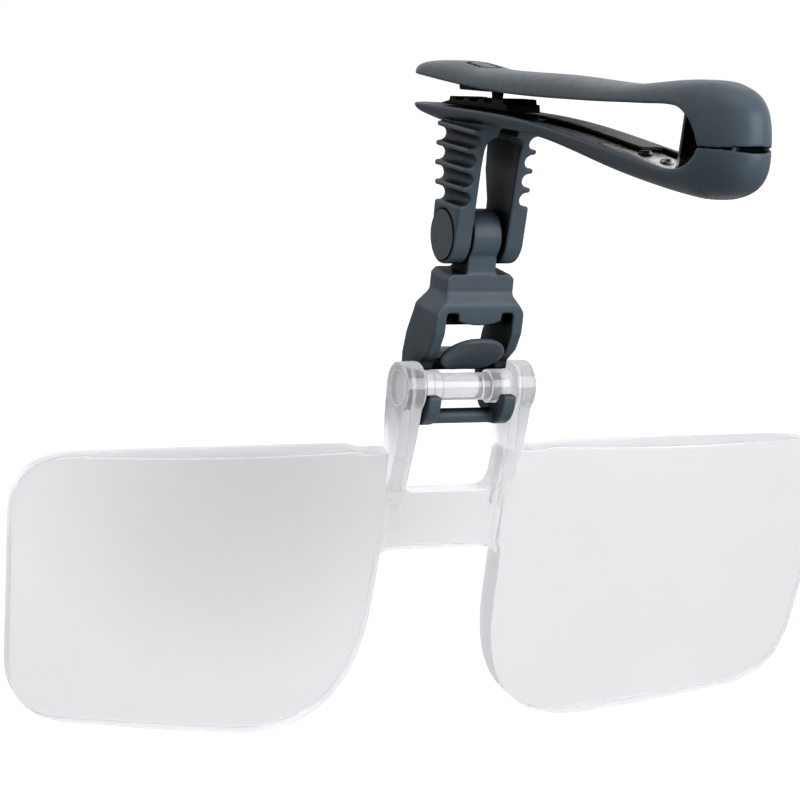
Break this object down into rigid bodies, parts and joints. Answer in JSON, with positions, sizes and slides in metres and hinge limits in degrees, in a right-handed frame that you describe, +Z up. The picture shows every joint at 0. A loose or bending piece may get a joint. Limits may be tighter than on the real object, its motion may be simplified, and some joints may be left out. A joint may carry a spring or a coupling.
{
  "type": "clip-on hat magnifier",
  "caption": "Spring clip for a cap's brim with a forked hanger and swing link, carrying a clear pair of magnifying lenses that flip up and tilt.",
  "frame": {"origin": "between the grip pads of the brim clip, on the plane where they meet", "axes": "+Z up with the clip level, +X across the lenses, +Y from the clip's rear toward its jaw tips, the way the brim leaves the clip and the side of the wearer's face"},
  "size_m": [0.1162, 0.0855, 0.0873],
  "materials": {
    "slate_plastic": "satin",
    "black_grip": "matt",
    "black_insert": "satin",
    "spring_steel": "bright",
    "clear_frame": "polished",
    "clear_lens": "polished"
  },
  "bodies": {
    "lower_clip": {"lower_jaw": "slate_plastic", "jaw_hinge_pin": "spring_steel", "clip_spring": "spring_steel", "spring_retainer": "black_insert", "spring_rivets": "spring_steel", "lower_grip_pad": "black_grip", "fork_hinge_pin": "slate_plastic", "hinge_pin_cap": "slate_plastic"},
    "upper_clip": {"upper_jaw": "slate_plastic", "upper_grip_pad": "black_grip"},
    "swing_arm": {"swing_link": "slate_plastic", "friction_washers": "black_insert"},
    "lens_frame": {"lens_yoke": "clear_frame", "left_lens": "clear_lens", "right_lens": "clear_lens", "tilt_bar": "clear_frame"}
  },
  "joints": [
    {"name": "jaw_open", "type": "hinge", "parent": "lower_clip", "child": "upper_clip", "pos_m": [0, -0.0606, -0.0032], "axis": [1, 0, 0], "range_deg": [0, 10], "stiffness_Nm_per_rad": 0.4, "springref_deg": -11.46, "deforming": ["clip_spring"]},
    {"name": "arm_flip", "type": "hinge", "parent": "lower_clip", "child": "swing_arm", "pos_m": [0, 0.0048, -0.0175], "axis": [-1, 0, 0], "range_deg": [-15, 75]},
    {"name": "lens_tilt", "type": "hinge", "parent": "swing_arm", "child": "lens_frame", "pos_m": [0, 0.00756, -0.03711], "axis": [-1, 0, 0], "range_deg": [-25, 70]}
  ]
}
